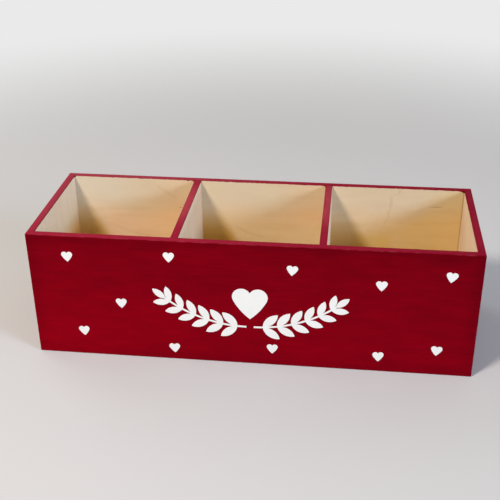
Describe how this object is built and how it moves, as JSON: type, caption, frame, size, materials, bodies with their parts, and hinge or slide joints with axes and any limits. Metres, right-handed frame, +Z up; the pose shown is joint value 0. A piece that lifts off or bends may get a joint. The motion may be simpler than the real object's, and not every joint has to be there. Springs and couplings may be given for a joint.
{
  "type": "pencil holder",
  "caption": "Open-topped wooden desk box with dividers, stained outside and bare birch inside, with small white hearts and a leafy ornament on the front.",
  "frame": {"origin": "on the surface that the box stands on, under the middle of the box", "axes": "+X to the right along the decorated front, +Y from the front wall to the back wall, +Z up"},
  "size_m": [0.3, 0.1031, 0.093],
  "materials": {
    "stained_ply": "satin",
    "bare_ply": "matte",
    "steel_wire": "satin",
    "stained_filler": "matte",
    "white_film": "satin"
  },
  "bodies": {
    "root": {"front_panel": "stained_ply", "back_panel": "stained_ply", "left_end_panel": "stained_ply", "right_end_panel": "stained_ply", "left_divider": "bare_ply", "right_divider": "bare_ply", "bottom_panel": "bare_ply", "end_joint_pins": "steel_wire", "end_joint_filler": "stained_filler", "divider_joint_pins": "steel_wire", "divider_joint_filler": "stained_filler", "bottom_joint_pins": "steel_wire", "bottom_joint_filler": "stained_filler", "ornament_heart": "white_film", "ornament_right_sprig": "white_film", "ornament_left_sprig": "white_film", "heart_sticker_01": "white_film", "heart_sticker_02": "white_film", "heart_sticker_03": "white_film", "heart_sticker_04": "white_film", "heart_sticker_05": "white_film", "heart_sticker_06": "white_film", "heart_sticker_07": "white_film", "heart_sticker_08": "white_film", "heart_sticker_09": "white_film", "heart_sticker_10": "white_film", "heart_sticker_11": "white_film"}
  },
  "joints": []
}
